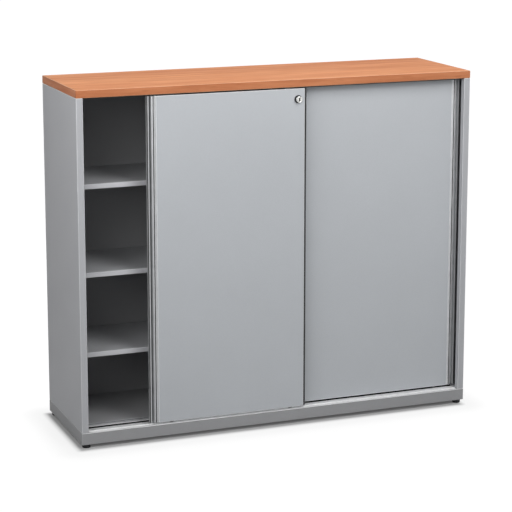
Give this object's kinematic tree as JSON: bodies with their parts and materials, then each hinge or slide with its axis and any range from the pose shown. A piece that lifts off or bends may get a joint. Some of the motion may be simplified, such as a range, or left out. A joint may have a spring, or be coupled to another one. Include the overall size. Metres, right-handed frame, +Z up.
{
  "type": "sliding door cabinet",
  "caption": "Low steel office cabinet with a wood-effect worktop, shelves, a push lock and two sliding doors that pass each other on rollers.",
  "frame": {"origin": "on the floor under the middle of the cabinet's outer box, with the feet standing on Z = 0", "axes": "+X runs along the width to the right as seen from the front, +Y runs from the doors to the back, +Z is up"},
  "size_m": [1.2, 0.358, 1.016],
  "materials": {
    "silver_paint": "satin powder coat",
    "wood_laminate": "matt laminate with beech grain",
    "wood_edge_band": "matt edge band",
    "rail_aluminium": "satin anodised",
    "grip_aluminium": "satin anodised",
    "black_plastic": "matt",
    "black_rubber": "matt",
    "grey_plastic": "matt",
    "zinc_plated_steel": "zinc plated",
    "lock_chrome": "polished"
  },
  "bodies": {
    "cabinet": {"worktop_board": "wood_laminate", "worktop_edge_front": "wood_edge_band", "worktop_edge_back": "wood_edge_band", "worktop_edge_left": "wood_edge_band", "worktop_edge_right": "wood_edge_band", "guide_channel": "black_plastic", "bottom_rail": "rail_aluminium", "left_side_panel": "silver_paint", "right_side_panel": "silver_paint", "back_panel": "silver_paint", "floor_panel": "silver_paint", "top_panel": "silver_paint", "base_frame": "silver_paint", "shelf_lower": "silver_paint", "shelf_middle": "silver_paint", "shelf_upper": "silver_paint", "upright_front_left": "zinc_plated_steel", "upright_front_right": "zinc_plated_steel", "upright_rear_left": "zinc_plated_steel", "upright_rear_right": "zinc_plated_steel", "clip_lower_front_left": "zinc_plated_steel", "clip_lower_front_right": "zinc_plated_steel", "clip_lower_rear_left": "zinc_plated_steel", "clip_lower_rear_right": "zinc_plated_steel", "clip_middle_front_left": "zinc_plated_steel", "clip_middle_front_right": "zinc_plated_steel", "clip_middle_rear_left": "zinc_plated_steel", "clip_middle_rear_right": "zinc_plated_steel", "clip_upper_front_left": "zinc_plated_steel", "clip_upper_front_right": "zinc_plated_steel", "clip_upper_rear_left": "zinc_plated_steel", "clip_upper_rear_right": "zinc_plated_steel"},
    "front_door": {"front_door_panel": "silver_paint", "front_door_grip": "grip_aluminium", "front_door_stiffener": "zinc_plated_steel", "front_door_guide_left": "grey_plastic", "front_door_guide_right": "grey_plastic", "front_door_carriage_left": "grey_plastic", "front_door_carriage_right": "grey_plastic", "front_door_buffer": "black_rubber", "lock_housing": "black_plastic", "lock_nut": "zinc_plated_steel"},
    "rear_door": {"rear_door_panel": "silver_paint", "rear_door_grip": "grip_aluminium", "rear_door_stiffener": "zinc_plated_steel", "rear_door_guide_left": "grey_plastic", "rear_door_guide_right": "grey_plastic", "rear_door_carriage_left": "grey_plastic", "rear_door_carriage_right": "grey_plastic", "lock_keeper": "zinc_plated_steel"},
    "front_door_roller_left": {"front_door_roller_left": "black_plastic"},
    "front_door_roller_right": {"front_door_roller_right": "black_plastic"},
    "rear_door_roller_left": {"rear_door_roller_left": "black_plastic"},
    "rear_door_roller_right": {"rear_door_roller_right": "black_plastic"},
    "lock_plunger": {"lock_plunger": "lock_chrome"},
    "lock_core": {"lock_core": "lock_chrome"},
    "foot_front_left": {"foot_front_left": "black_plastic"},
    "foot_front_right": {"foot_front_right": "black_plastic"},
    "foot_rear_left": {"foot_rear_left": "black_plastic"},
    "foot_rear_right": {"foot_rear_right": "black_plastic"}
  },
  "joints": [
    {"name": "front_door_slide", "type": "slide", "parent": "cabinet", "child": "front_door", "axis": [1, 0, 0], "range_m": [-0.184, 0.498]},
    {"name": "rear_door_slide", "type": "slide", "parent": "cabinet", "child": "rear_door", "axis": [1, 0, 0], "range_m": [-0.442, 0]},
    {"name": "front_door_roller_left_spin", "type": "hinge", "parent": "front_door", "child": "front_door_roller_left", "pos_m": [-0.331, -0.157, 0.0558], "axis": [0, 1, 0], "range_deg": [-1319, 3568]},
    {"name": "front_door_roller_right_spin", "type": "hinge", "parent": "front_door", "child": "front_door_roller_right", "pos_m": [0.035, -0.157, 0.0558], "axis": [0, 1, 0], "range_deg": [-1319, 3568]},
    {"name": "rear_door_roller_left_spin", "type": "hinge", "parent": "rear_door", "child": "rear_door_roller_left", "pos_m": [-0.102, -0.123, 0.0558], "axis": [0, 1, 0], "range_deg": [-3167, 1]},
    {"name": "rear_door_roller_right_spin", "type": "hinge", "parent": "rear_door", "child": "rear_door_roller_right", "pos_m": [0.521, -0.123, 0.0558], "axis": [0, 1, 0], "range_deg": [-3167, 1]},
    {"name": "lock_push", "type": "slide", "parent": "front_door", "child": "lock_plunger", "axis": [0, 1, 0], "range_m": [0, 0.0095], "stiffness_N_per_m": 400, "springref_m": -0.003},
    {"name": "lock_turn", "type": "hinge", "parent": "lock_plunger", "child": "lock_core", "pos_m": [0.054, -0.171, 0.959], "axis": [0, 1, 0], "range_deg": [0, 90]},
    {"name": "foot_front_left_turn", "type": "hinge", "parent": "cabinet", "child": "foot_front_left", "pos_m": [-0.584, -0.156, 0], "axis": [0, 0, 1], "continuous": true},
    {"name": "foot_front_right_turn", "type": "hinge", "parent": "cabinet", "child": "foot_front_right", "pos_m": [0.584, -0.156, 0], "axis": [0, 0, 1], "continuous": true},
    {"name": "foot_rear_left_turn", "type": "hinge", "parent": "cabinet", "child": "foot_rear_left", "pos_m": [-0.584, 0.164, 0], "axis": [0, 0, 1], "continuous": true},
    {"name": "foot_rear_right_turn", "type": "hinge", "parent": "cabinet", "child": "foot_rear_right", "pos_m": [0.584, 0.164, 0], "axis": [0, 0, 1], "continuous": true}
  ],
  "couplings": [
    {"joint": "front_door_roller_left_spin", "follows": "front_door_slide", "rad_per_m": 125},
    {"joint": "front_door_roller_right_spin", "follows": "front_door_slide", "rad_per_m": 125},
    {"joint": "rear_door_roller_left_spin", "follows": "rear_door_slide", "rad_per_m": 125},
    {"joint": "rear_door_roller_right_spin", "follows": "rear_door_slide", "rad_per_m": 125}
  ]
}
